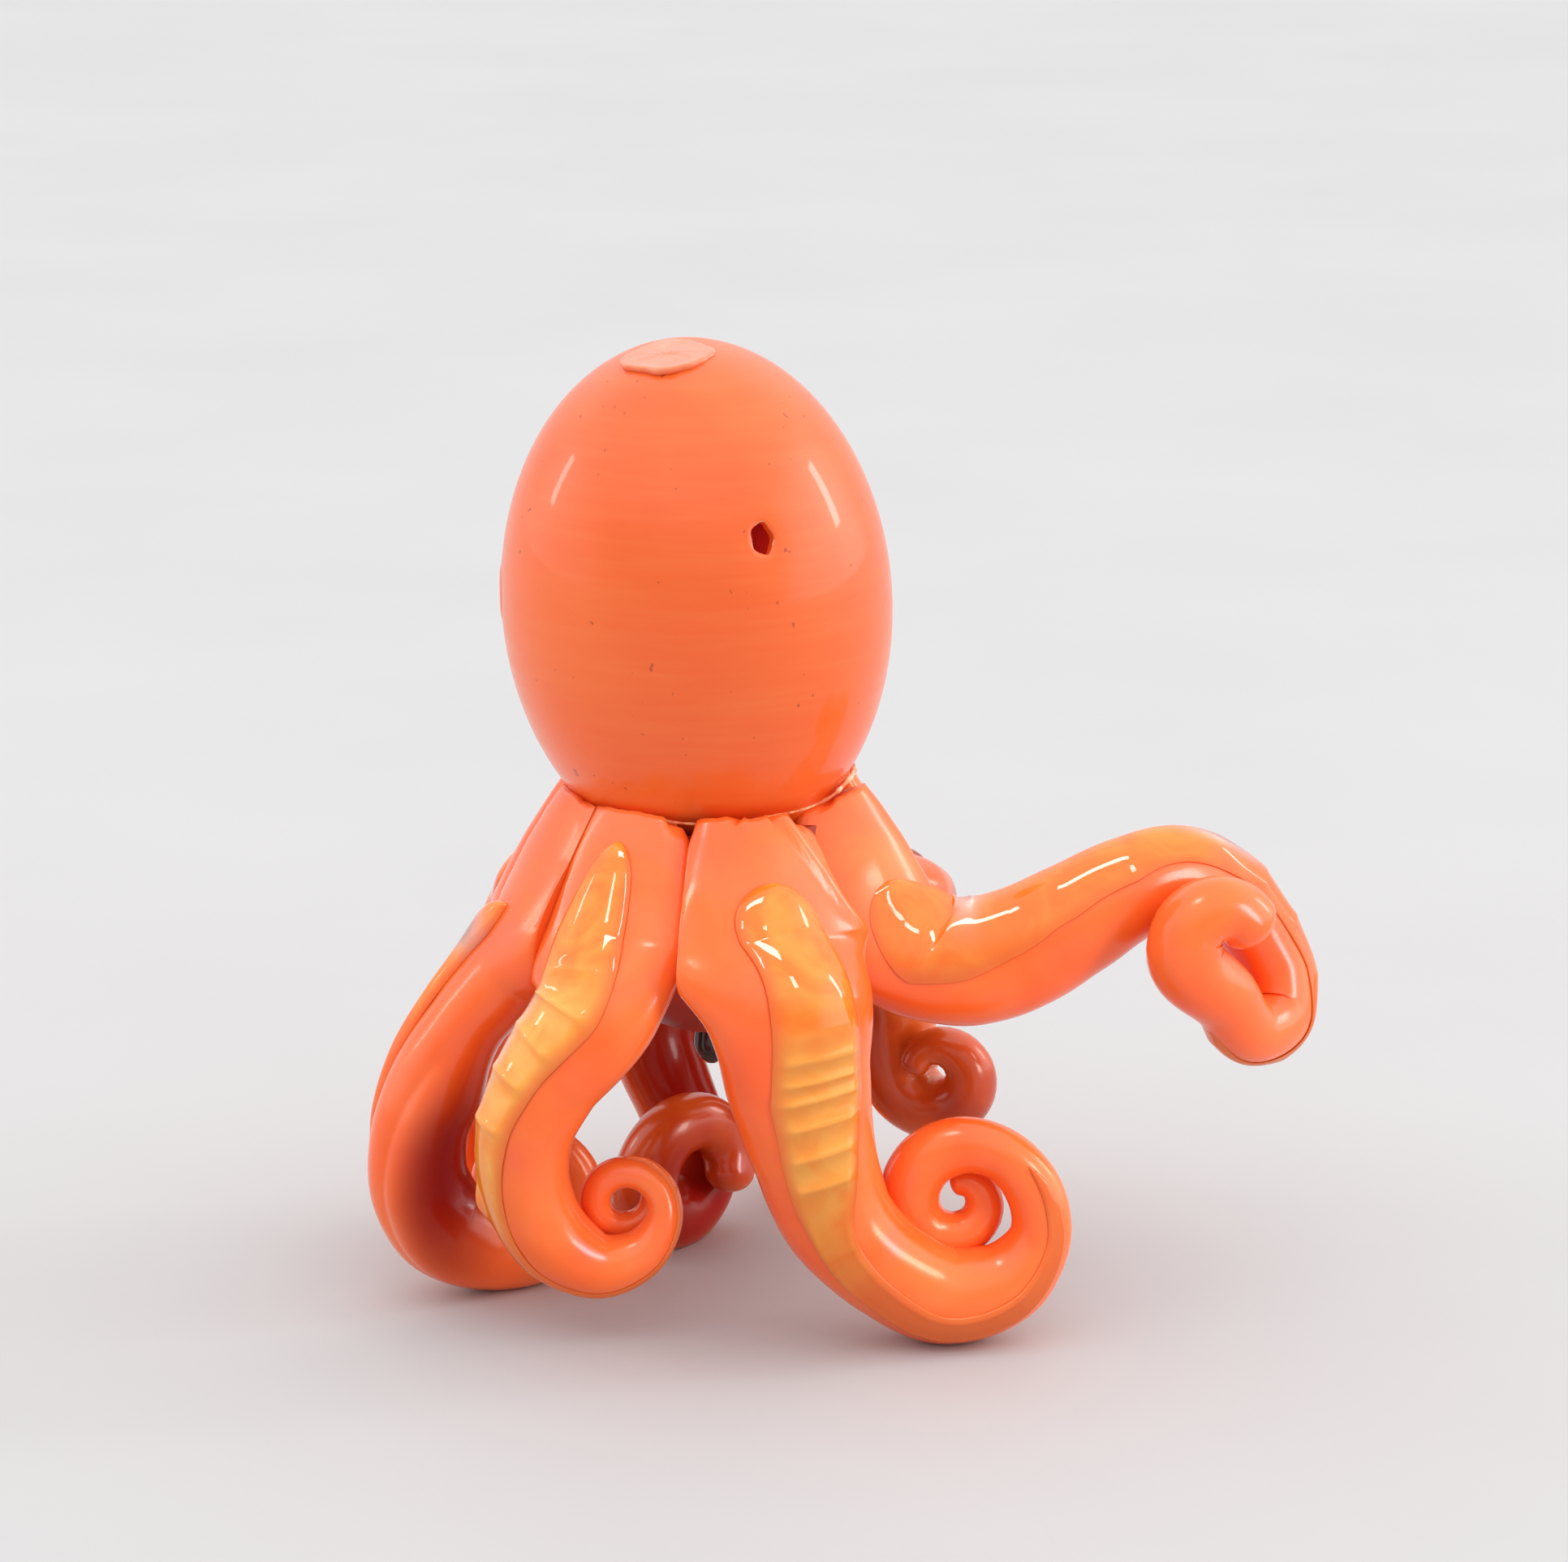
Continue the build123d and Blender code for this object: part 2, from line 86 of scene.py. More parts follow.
ARMS = (
    Arm("front", -73.0, (1.12, 1.75, 2.36),
        ((0.195, -0.52, 0.66, 1.84, 0.96), (0.215, -0.53, 0.53, 1.5, 1.0), (0.25, -0.53, 0.395, 1.24, 1.0),
         (0.316, -0.51, 0.255, 1.12, 1.0), (0.43, -0.49, 0.16, 1.04, 1.0), (0.584, -0.47, 0.1, 1.0, 1.0),
         (0.73, -0.46, 0.13, 0.84, 0.84)),
        (0.605, -0.45, 0.27), (0, -1, 0), (0.21, 0.04), 0.7, -18.0, 1.28, -0.06, (0.62, 0.2),
        (10.0, 62.0, 62.0), (0.048, 0.72), True),
    Arm("front_left", -121.0, (1.04, 1.6, 1.9),
        ((-0.275, -0.48, 0.65, 1.5, 0.95), (-0.385, -0.5, 0.523, 1.2, 0.94),
         (-0.44, -0.5, 0.412, 1.0, 0.92), (-0.432, -0.49, 0.298, 0.9, 0.88),
         (-0.365, -0.48, 0.2, 0.82, 0.82), (-0.257, -0.47, 0.155, 0.64, 0.64),
         (-0.162, -0.46, 0.181, 0.48, 0.48)),
        (-0.203, -0.45, 0.259), (0, -1, 0), (0.088, 0.056), 1.0, -5.0, 1.2, -0.09, (0.34, 0.18),
        (0.0, 5.0, 10.0), (0.1, 0.8), False),
    Arm("left", -154.0, (1.0, 1.5, 1.7),
        ((-0.49, -0.18, 0.658, 1.2, 0.88), (-0.59, -0.18, 0.56, 1.04, 0.84),
         (-0.685, -0.18, 0.452, 1.0, 0.8),
         (-0.744, -0.17, 0.328, 0.96, 0.76), (-0.743, -0.15, 0.212, 0.96, 0.76),
         (-0.686, -0.13, 0.125, 0.94, 0.78), (-0.583, -0.1, 0.08, 0.88, 0.8)),
        (-0.45, -0.04, 0.175), (0.35, -0.94, 0), (0.13, 0.08), 1.0, -62.0, 0.72, -0.16, (0.72, 0.3),
        (0.0, -33.0, -66.0), (0.15, 0.74), True),
    Arm("right", -20.5, (1.04, 1.6, 1.9),
        ((0.507, -0.16, 0.69, 1.4, 1.16), (0.627, -0.16, 0.665, 1.26, 1.26), (0.768, -0.15, 0.69, 1.2, 1.26),
         (0.9, -0.14, 0.744, 1.12, 1.16), (1.03, -0.11, 0.797, 1.02, 1.04), (1.15, -0.06, 0.818, 0.94, 0.94),
         (1.252, -0.02, 0.785, 0.88, 0.88), (1.345, 0.0, 0.7, 0.82, 0.82), (1.4, -0.005, 0.61, 0.78, 0.78),
         (1.4, -0.05, 0.545, 0.74, 0.74), (1.335, -0.14, 0.535, 0.7, 0.7), (1.26, -0.225, 0.62, 0.66, 0.66)),
        (1.24, -0.28, 0.735), (-0.2, 0.98, 0), (0.084, 0.084), 1.0, -8.0, 0.42, 0.0, (0.57, 0.46),
        (-38.0, -19.0, 0.0), (0.12, 0.9), False),
    Arm("rear_right", 28.0, (1.0, 1.36, 1.4),
        ((0.5, 0.38, 0.65, 1.0, 0.84), (0.48, 0.48, 0.545, 0.92, 0.84), (0.46, 0.485, 0.445, 0.8, 0.78)),
        (0.59, 0.42, 0.333), (-0.35, -0.94, 0), (0.125, 0.045), 1.3, 185.0, 0.9, 0.12, (0.68, 0.25),
        (0.0, 10.0, 20.0), (0.16, 0.8), False),
    Arm("rear", 68.0, (1.0, 1.36, 1.4),
        ((0.23, 0.63, 0.62, 1.0, 0.88), (0.26, 0.73, 0.47, 0.94, 0.86), (0.27, 0.77, 0.32, 0.86, 0.82)),
        (0.27, 0.6, 0.19), (-1, 0, 0), (0.17, 0.05), 0.85, 170.0, 1.05, 0.03, (0.64, 0.2),
        (0.0, 0.0, 0.0), (0.16, 0.6), True),
    Arm("rear_left", 107.0, (1.0, 1.46, 1.56),
        ((-0.18, 0.52, 0.615, 1.0, 0.88), (-0.165, 0.54, 0.475, 0.96, 0.88),
         (-0.15, 0.53, 0.335, 0.94, 0.86), (-0.08, 0.47, 0.2, 0.84, 0.8)),
        (-0.13, 0.28, 0.17), (-0.77, 0.64, 0), (0.16, 0.09), 1.0, 215.0, 0.96, -0.16, (0.7, 0.42),
        (0.0, 36.0, 72.0), (0.16, 0.86), True),
    Arm("left_rear", 148.0, (1.0, 1.5, 1.6),
        ((-0.46, 0.37, 0.645, 1.0, 0.88), (-0.56, 0.43, 0.5, 0.94, 0.86), (-0.645, 0.46, 0.345, 0.86, 0.82)),
        (-0.53, 0.345, 0.19), (-0.7, -0.72, 0), (0.17, 0.05), 0.85, 172.0, 1.05, 0.03, (0.64, 0.2),
        (0.0, 0.0, 0.0), (0.16, 0.6), True),
)


# Numbers and vectors

def unit(vectors):
    """Rows scaled to length 1."""
    vectors = np.asarray(vectors, float)
    return vectors / np.linalg.norm(vectors, axis=-1, keepdims=True)


def smooth(share):
    """Soft step from 0 to 1."""
    share = np.clip(share, 0, 1)
    return share * share * (3 - 2 * share)


def wobble(values, seed):
    """Slow deterministic waver between about -1 and 1."""
    values = np.asarray(values, float)
    return (np.sin(values * 1.0 + seed * 1.7) + 0.6 * np.sin(values * 2.3 + seed * 4.1)
            + 0.4 * np.sin(values * 4.9 + seed * 2.9)) / 2


# Arm rows

Rows = namedtuple("Rows", "share run turned place tangent out side wide thick")


def way_points(arm):
    """Way points of an arm and of its coil: place, half width, half thickness."""
    turn = math.radians(arm.turn)
    half = ARM_GIRTH / 2
    rows = []
    for (radius, height, thick), wide in zip(ROOT_SHARES, arm.root_widths):
        rows.append((radius * CROWN_RADIUS * math.cos(turn), radius * CROWN_RADIUS * math.sin(turn),
                     height * CROWN_HEIGHT, wide * half, thick * half))
    for x, y, z, wide, thick in arm.ways:
        rows.append((x * ARM_SPREAD, y * ARM_SPREAD, z * CROWN_HEIGHT, wide * half, thick * half))
    ways = len(rows)
    axis = unit(arm.axis)
    rise = np.array((0.0, 0.0, 1.0))
    across = np.cross(rise, axis)
    centre = np.array(arm.centre) * (ARM_SPREAD, ARM_SPREAD, CROWN_HEIGHT)
    first, last = (share * ARM_SPREAD for share in arm.radii)
    thick, thin = (share * half for share in arm.girths)
    count = round(360 * arm.turns / COIL_STEP)
    for step in range(count + 1):
        share = step / count
        angle = math.radians(arm.start + 360 * arm.turns * share)
        radius = first + (last - first) * share ** arm.ease
        size = thick * (thin / thick) ** share
        place = centre + across * radius * math.cos(angle) + rise * radius * math.sin(angle)
        place = place + axis * arm.shift * ARM_SPREAD * arm.turns * share
        rows.append((*place, size, size))
    return np.array(rows), ways


def arm_rows(arm, step):
    """Close rows along the smooth curve through an arm's way points, with their directions."""
    rows, ways = way_points(arm)
    gaps = np.linalg.norm(np.diff(rows[:, :3], axis=0), axis=1)
    steps = np.diff(rows, axis=0) / gaps[:, None]
    slopes = np.empty_like(rows)
    slopes[1:-1] = ((steps[:-1] * gaps[1:, None] + steps[1:] * gaps[:-1, None])
                    / (gaps[:-1] + gaps[1:])[:, None])
    slopes[0] = 2 * steps[0] - slopes[1]
    slopes[-1] = 2 * steps[-1] - slopes[-2]
    spots, rates, run = [], [], []
    reached = 0.0
    for k, gap in enumerate(gaps):
        count = max(1, round(gap / step))
        last = k == len(gaps) - 1
        t = np.linspace(0, 1, count + 1)[: count + 1 if last else count, None]
        p, q, u, v = rows[k], rows[k + 1], slopes[k], slopes[k + 1]
        spots.append((2 * t ** 3 - 3 * t ** 2 + 1) * p + (3 * t ** 2 - 2 * t ** 3) * q
                     + gap * ((t ** 3 - 2 * t ** 2 + t) * u + (t ** 3 - t ** 2) * v))
        rates.append(6 * (t ** 2 - t) * (p - q) / gap + (3 * t ** 2 - 4 * t + 1) * u
                     + (3 * t ** 2 - 2 * t) * v)
        run.append(reached + t[:, 0] * gap)
        reached += gap
    spots, rates, run = np.concatenate(spots), np.concatenate(rates), np.concatenate(run)
    share = run / reached
    coil_share = gaps[:ways].sum() / reached
    place = spots[:, :3].copy()
    tangent = unit(rates[:, :3])
    heading = np.array((math.cos(math.radians(arm.turn)), math.sin(math.radians(arm.turn)), 0))
    root_side = unit(np.cross(heading, tangent[0]))
    turned = smooth(share / coil_share)
    side = root_side * (1 - turned)[:, None] + unit(arm.axis) * turned[:, None]
    side = unit(side - tangent * (side * tangent).sum(1, keepdims=True))
    first_roll, middle_roll, last_roll = arm.rolls
    roll = np.radians(first_roll * (1 - turned) ** 2 + 2 * middle_roll * turned * (1 - turned)
                      + last_roll * turned ** 2)[:, None]
    out = np.cross(tangent, side) * np.cos(roll) + side * np.sin(roll)
    side = np.cross(tangent, out)
    wide, thick = spots[:, 3], spots[:, 4]
    if arm.stands:
        low_thick = thick * out[:, 2] * np.where(out[:, 2] < 0, 1, BACK_SHARE)
        low = (place[:, 2] - np.hypot(wide * side[:, 2], low_thick)).min()
        place[:, 2] -= (low + FOOT_FLAT) * turned
    return Rows(share, run, turned, place, tangent, out, side, wide, thick)


def sector_planes(arm):
    """Inward normals of the two vertical planes between an arm and its neighbours."""
    turns = sorted(other.turn % 360 for other in ARMS)
    own = turns.index(arm.turn % 360)
    before = (turns[own] + turns[own - 1] - (360 if own == 0 else 0)) / 2
    after = (turns[own] + turns[(own + 1) % len(turns)] + (360 if own == len(turns) - 1 else 0)) / 2
    planes = []
    for turn, sign in ((before, 1), (after, -1)):
        turn = math.radians(turn)
        planes.append(np.array((-math.sin(turn), math.cos(turn), 0)) * sign)
    return planes


# Meshes

def new_piece(name, verts, faces, materials, node=None, marks=None, face_slots=None):
    """Mesh piece from points in millimetres about the body axis, riding on the root."""
    verts = np.asarray(verts, float)
    mesh = bpy.data.meshes.new(name)
    placed = (verts + (AXIS_X / MM, AXIS_Y / MM, 0)) * MM
    mesh.from_pydata(placed.tolist(), [], faces)
    for material in materials:
        mesh.materials.append(material)
    if marks is not None:
        layer = mesh.color_attributes.new("marks", "FLOAT_COLOR", "POINT")
        layer.data.foreach_set("color", marks.ravel())
    if face_slots is not None:
        mesh.polygons.foreach_set("material_index", face_slots)
    mesh.polygons.foreach_set("use_smooth", [True] * len(mesh.polygons))
    mesh.update()
    piece = bpy.data.objects.new(name, mesh)
    bpy.context.scene.collection.objects.link(piece)
    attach(piece, "root")
    if node:
        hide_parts(node)
    return piece


def ring_faces(rings, points):
    """Quads between neighbouring closed rings."""
    faces = []
    for k in range(rings - 1):
        for j in range(points):
            a, b = k * points + j, k * points + (j + 1) % points
            faces.append((a, b, b + points, a + points))
    return faces


def tube(rings):
    """Points and faces of a tube through rings, then the two end caps, whose faces alternate."""
    count, points = rings.shape[:2]
    verts = rings.reshape(-1, 3)
    faces = ring_faces(count, points)
    first, last = len(verts), len(verts) + 1
    verts = np.vstack((verts, rings[0].mean(0), rings[-1].mean(0)))
    for j in range(points):
        faces.append(((j + 1) % points, j, first))
        faces.append(((count - 1) * points + j, (count - 1) * points + (j + 1) % points, last))
    return verts, faces


# Node materials

def socket_name(key):
    """Name of a socket from a keyword."""
    return key.replace("_", " ").title().replace("Ior", "IOR")


def set_range(node, low, high, new_low, new_high):
    """Both ranges of a Map Range node."""
    for socket, number in zip(("From Min", "From Max", "To Min", "To Max"), (low, high, new_low, new_high)):
        node.inputs[socket].default_value = number


class Nodes:
    """Short calls to build a node material."""

    def __init__(self, name):
        self.material = bpy.data.materials.new(name)
        self.material.use_nodes = True
        self.tree = self.material.node_tree
        self.shader = self.tree.nodes["Principled BSDF"]

    def new(self, kind, **values):
        node = self.tree.nodes.new(kind)
        for key, value in values.items():
            if hasattr(node, key):
                setattr(node, key, value)
            else:
                node.inputs[socket_name(key)].default_value = value
        return node

    def link(self, source, target):
        self.tree.links.new(source, target)

    def set(self, **values):
        for key, value in values.items():
            self.shader.inputs[socket_name(key)].default_value = value

    def place(self, scale=(1, 1, 1)):
        coords = self.new("ShaderNodeTexCoord")
        mapping = self.new("ShaderNodeMapping")
        mapping.inputs["Scale"].default_value = scale
        self.link(coords.outputs["Object"], mapping.inputs["Vector"])
        return mapping.outputs["Vector"]

    def noise(self, vector, scale, detail=3.0, roughness=0.5, distortion=0.0):
        node = self.new("ShaderNodeTexNoise", scale=scale, detail=detail, roughness=roughness,
                        distortion=distortion)
        self.link(vector, node.inputs["Vector"])
        return node.outputs["Fac"]

    def ramp(self, fac, *stops):
        node = self.new("ShaderNodeValToRGB")
        ramp = node.color_ramp
        while len(ramp.elements) < len(stops):
            ramp.elements.new(0.5)
        for element, (position, colour) in zip(ramp.elements, stops):
            element.position = position
            element.color = (*colour, 1)
        self.link(fac, node.inputs["Fac"])
        return node.outputs["Color"]

    def mix(self, fac, a, b):
        node = self.new("ShaderNodeMix", data_type="RGBA")
        for socket, value in ((0, fac), (6, a), (7, b)):
            if isinstance(value, bpy.types.NodeSocket):
                self.link(value, node.inputs[socket])
            elif socket == 0:
                node.inputs[socket].default_value = value
            else:
                node.inputs[socket].default_value = (*value, 1)
        return node.outputs[2]

    def range(self, value, low, high, new_low, new_high):
        node = self.new("ShaderNodeMapRange")
        set_range(node, low, high, new_low, new_high)
        self.link(value, node.inputs["Value"])
        return node.outputs["Result"]

    def bump(self, height, strength, distance):
        node = self.new("ShaderNodeBump", strength=strength, distance=distance)
        self.link(height, node.inputs["Height"])
        self.link(node.outputs["Normal"], self.shader.inputs["Normal"])


def srgb(red, green, blue):
    """Linear colour from 8-bit display values."""
    return tuple(v / 255 / 12.92 if v <= 10 else ((v / 255 + 0.055) / 1.055) ** 2.4
                 for v in (red, green, blue))


CORAL_SCATTER = (1.0, 0.25, 0.1)
AMBER_SCATTER = (1.0, 0.45, 0.15)


def head_material():
    m = Nodes("head_coral_glass")
    place = m.place()
    wipe = m.noise(m.place((6, 6, 90)), 3.0, 4.0, 0.6)
    cloud = m.noise(place, 22.0, 3.0, 0.55)
    speck = m.noise(place, 420.0, 1.0)
    base = m.ramp(cloud, (0.32, srgb(248, 98, 28)), (0.68, srgb(250, 110, 40)))
    base = m.mix(m.range(wipe, 0.45, 0.75, 0.0, 0.25), base, srgb(252, 132, 70))
    base = m.mix(m.range(speck, 0.745, 0.77, 0.0, 0.5), base, srgb(130, 36, 18))
    m.link(base, m.shader.inputs["Base Color"])
    m.link(m.range(wipe, 0.3, 0.7, 0.3, 0.42), m.shader.inputs["Roughness"])
    m.set(ior=1.4, coat_weight=0.5, coat_roughness=0.06)
    m.set(subsurface_weight=0.1, subsurface_scale=0.004, subsurface_radius=CORAL_SCATTER)
    m.bump(m.noise(place, 160.0, 2.0), 0.03, 0.0005)
    return m.material


def arm_material():
    """Coral glass with an iridescent film; marks hold the shares of painted dark red shade in bows and of
    painted brown shade under the body.
    """
    m = Nodes("arm_coral_glass")
    place = m.place()
    cloud = m.noise(place, 30.0, 3.0, 0.5, 0.4)
    film = m.noise(place, 26.0, 2.0, 0.5, 0.8)
    grain = m.noise(place, 1800.0, 2.0)
    marks = m.new("ShaderNodeAttribute", attribute_name="marks")
    split = m.new("ShaderNodeSeparateColor")
    m.link(marks.outputs["Color"], split.inputs["Color"])
    shade, under_body_shade = split.outputs[0], split.outputs[1]
    bright = m.ramp(cloud, (0.3, srgb(248, 94, 30)), (0.52, srgb(249, 106, 42)), (0.72, srgb(250, 118, 56)))
    shaded_coral = m.ramp(cloud, (0.34, srgb(176, 56, 18)), (0.5, srgb(208, 82, 28)), (0.68, srgb(232, 116, 44)))
    # Painted shade: browner coral on the rear arms under the body, dark red on the inner sides of bows
    base = m.mix(shade, m.mix(under_body_shade, bright, shaded_coral), srgb(150, 22, 14))
    # Weaker reflection where the dark red shade is painted
    m.link(m.range(shade, 0.0, 1.0, 0.5, 0.1), m.shader.inputs["Specular IOR Level"])
    m.link(base, m.shader.inputs["Base Color"])
    sheen = m.ramp(film, (0.3, (1.0, 0.74, 0.88)), (0.45, (1.0, 0.92, 0.9)), (0.58, (1.0, 0.88, 0.62)),
                   (0.72, (0.9, 0.72, 1.0)))
    m.link(sheen, m.shader.inputs["Specular Tint"])
    m.link(m.range(grain, 0.3, 0.7, 0.18, 0.26), m.shader.inputs["Roughness"])
    m.set(ior=1.58, coat_weight=0.1, coat_roughness=0.05)
    m.set(subsurface_weight=0.1, subsurface_scale=0.004, subsurface_radius=CORAL_SCATTER)
    m.bump(grain, 0.06, 0.0002)
    return m.material


def strip_material(name, dome, gold, plate, edge):
    """Amber glass; marks hold the shares of clear glass, painted highlight on ridge crests, the arm's colour
    and pressed plate.
    """
    m = Nodes(name)
    place = m.place()
    marks = m.new("ShaderNodeAttribute", attribute_name="marks")
    split = m.new("ShaderNodeSeparateColor")
    m.link(marks.outputs["Color"], split.inputs["Color"])
    clear, crest_highlight, coral = split.outputs[0], split.outputs[1], split.outputs[2]
    cloud = m.noise(place, 60.0, 3.0, 0.5, 1.6)
    base = m.ramp(cloud, (0.4, dome), (0.66, gold))
    base = m.mix(marks.outputs["Alpha"], base, m.ramp(cloud, (0.35, gold), (0.6, plate)))
    # Painted highlight: ridge crests take the lighter plate colour
    base = m.mix(m.range(crest_highlight, 0.0, 1.0, 0.0, 0.7), base, plate)
    base = m.mix(coral, base, edge)
    base = m.mix(clear, base, srgb(246, 232, 226))
    m.link(base, m.shader.inputs["Base Color"])
    m.link(m.range(clear, 0.0, 1.0, 0.14, 0.9), m.shader.inputs["Transmission Weight"])
    m.set(ior=1.5, roughness=0.04)
    m.set(subsurface_weight=0.2, subsurface_scale=0.004, subsurface_radius=AMBER_SCATTER)
    m.bump(m.noise(place, 150.0, 2.0), 0.06, 0.0006)
    return m.material


def dark_material(name, low, high, roughness, ior=1.5):
    m = Nodes(name)
    cloud = m.noise(m.place(), 45.0, 3.0)
    m.link(m.ramp(cloud, (0.35, low), (0.7, high)), m.shader.inputs["Base Color"])
    m.link(m.range(cloud, 0.3, 0.7, roughness, roughness * 1.8), m.shader.inputs["Roughness"])
    m.set(ior=ior)
    return m.material


def adhesive_material():
    m = Nodes("adhesive_cream")
    place = m.place()
    cloud = m.noise(place, 160.0, 4.0, 0.65)
    base = m.ramp(cloud, (0.4, srgb(214, 96, 44)), (0.52, srgb(238, 170, 116)), (0.64, srgb(250, 226, 196)))
    m.link(base, m.shader.inputs["Base Color"])
    m.link(m.range(cloud, 0.3, 0.7, 0.35, 0.7), m.shader.inputs["Roughness"])
    m.set(subsurface_weight=0.2, subsurface_scale=0.002)
    m.bump(m.noise(place, 900.0, 3.0), 0.4, 0.0005)
    return m.material


def seal_material():
    m = Nodes("seal_pale_glass")
    place = m.place()
    cloud = m.noise(place, 90.0, 3.0, 0.5, 0.5)
    base = m.ramp(cloud, (0.35, srgb(244, 122, 70)), (0.65, srgb(247, 144, 100)))
    m.link(base, m.shader.inputs["Base Color"])
    m.link(m.range(cloud, 0.3, 0.7, 0.12, 0.24), m.shader.inputs["Roughness"])
    m.set(ior=1.5, coat_weight=0.5, coat_roughness=0.04, subsurface_weight=0.15, subsurface_scale=0.003)
    return m.material


HEAD_GLASS = head_material()
ARM_GLASS = arm_material()
STRIP_GLASS = strip_material("strip_amber_glass", dome=srgb(250, 122, 32), gold=srgb(252, 146, 50),
                             plate=srgb(253, 168, 72), edge=srgb(249, 108, 44))
# Painted shade: a darker copy of the amber strips for the rear arms under the body
SHADED_STRIP_GLASS = strip_material("strip_shaded_amber_glass", dome=srgb(176, 74, 16), gold=srgb(222, 128, 40),
                            plate=srgb(206, 104, 28), edge=srgb(150, 48, 18))
CORE_GLASS = dark_material("core_red_glass", srgb(120, 20, 10), srgb(184, 52, 24), 0.3)
# Painted shade: dark red bottoms of the eye holes, where the holes lie in shade
PIT_SHADE_GLASS = dark_material("pit_painted_shade", srgb(150, 12, 22), srgb(206, 44, 34), 0.6, 1.08)
# Painted glint: pale faces on the front eye hole's chipped edge
GLINT_GLASS = dark_material("eye_edge_painted_glint", srgb(246, 226, 212), srgb(255, 244, 236), 0.08)
BEAK_GLASS = dark_material("beak_smoky_glass", srgb(24, 18, 18), srgb(58, 48, 48), 0.07)
ADHESIVE = adhesive_material()
SEAL_GLASS = seal_material()


# Head

LEAN = math.radians(-HEAD_LEAN)
HEAD_HALF = np.array((HEAD_WIDTH / 2, HEAD_WIDTH / 2, HEAD_HEIGHT / 2))
HEAD_CENTRE = CROWN_HEIGHT - HEAD_SINK + HEAD_HEIGHT / 2
# Radii of the head about its eye holes, to turn lengths on it into angles
FRONT_EYE_RADIUS = 50.0
LEFT_EYE_RADIUS = 48.0
# Wall of the front eye hole, from its bottom: depth in mm, share of the hole's radius
EYE_WALL = ((5.2, 0.0), (5.1, 0.8), (3.6, 1.08), (1.8, 1.04), (0.6, 0.98))
# Painted glints on the edge of the front eye hole, where it is chipped, in degrees from its left side by way
# of its lower side
EYE_GLINTS = ((250.0, 296.0), (146.0, 168.0))
# Left eye hole and its rim, from its bottom: radius and rise in mm
EYE_RIM = ((0.6, -2.6), (2.5, -2.2), (2.9, -0.4), (3.2, 0.15), (3.7, 0.3), (4.6, 0.2), (5.6, 0.02),
           (6.2, -0.4), (5.8, -3.9))
# Bed of that rim in the head, in mm
EYE_BED_REACH = 5.0
EYE_BED_EDGE = 1.2
EYE_BED_DEPTH = 3.4
# Share of the head's top that is taken off above the seal's flat
SEAL_CUT = 0.85
# Seal, from below: share of its half width, rise in mm
SEAL_PROFILE = ((0.05, -1.2), (0.97, -1.2), (1.0, 0.1), (0.97, 0.4), (0.9, 0.5), (0.8, 0.34), (0.6, 0.4),
                (0.3, 0.55), (0.04, 0.6))
# Drop under the core, from its tip: share of its half width, height as a share of its length
BEAK_PROFILE = ((0.04, -0.75), (0.3, -0.73), (0.62, -0.64), (0.88, -0.5), (1.0, -0.35), (0.94, -0.15),
                (0.8, 0.05), (0.7, 0.25))


def head_to_body(points):
    """Points about the head's centre, leaned with the head, to points about the body axis."""
    points = np.asarray(points, float)
    x, y, z = points[..., 0], points[..., 1], points[..., 2] + HEAD_CENTRE - CROWN_HEIGHT
    return np.stack((x * math.cos(LEAN) + z * math.sin(LEAN), y,
                     z * math.cos(LEAN) - x * math.sin(LEAN) + CROWN_HEIGHT), -1)


def egg_normal(points):
    """Outward directions of the egg at points on it."""
    return unit(points / HEAD_HALF ** 2)


def polar_grid(pole, angles, turns):
    """Directions on the unit sphere at angles from a pole, ring by ring."""
    pole = unit(pole)
    first = unit(np.cross(pole, (0.0, 0.0, 1.0)))
    second = np.cross(pole, first)
    return (pole * np.cos(angles)[..., None]
            + (first * np.cos(turns)[:, None] + second * np.sin(turns)[:, None]) * np.sin(angles)[..., None])


def eye_pole(place):
    """Direction on the unit sphere of an eye hole."""
    turn, height = place
    flat = math.sqrt(1 - height ** 2)
    return np.array((flat * math.cos(math.radians(turn)), flat * math.sin(math.radians(turn)), height))


def seal_frame():
    """Axis of the seal's flat, and its height over the head's centre along that axis."""
    front, left = math.radians(SEAL_TILT_FRONT), math.radians(-SEAL_TILT_LEFT)
    axis = np.array((math.sin(left), -math.sin(front) * math.cos(left), math.cos(front) * math.cos(left)))
    pole_radius = HEAD_HALF[0] ** 2 / HEAD_HALF[2]
    return axis, HEAD_HALF[2] - (SEAL_WIDTH / 2) ** 2 / (2 * pole_radius)


def full_turn(points):
    """Angles once round."""
    return np.linspace(0, 2 * math.pi, points, endpoint=False)


def pit_slots(faces, points):
    """Material slots of the faces of a tube from the bottom of a hole: the bottom has the second one, for
    painted shade.
    """
    slots = [0] * len(faces)
    slots[:2 * points] = [1] * (2 * points)
    slots[-2 * points::2] = [1] * points
    return slots


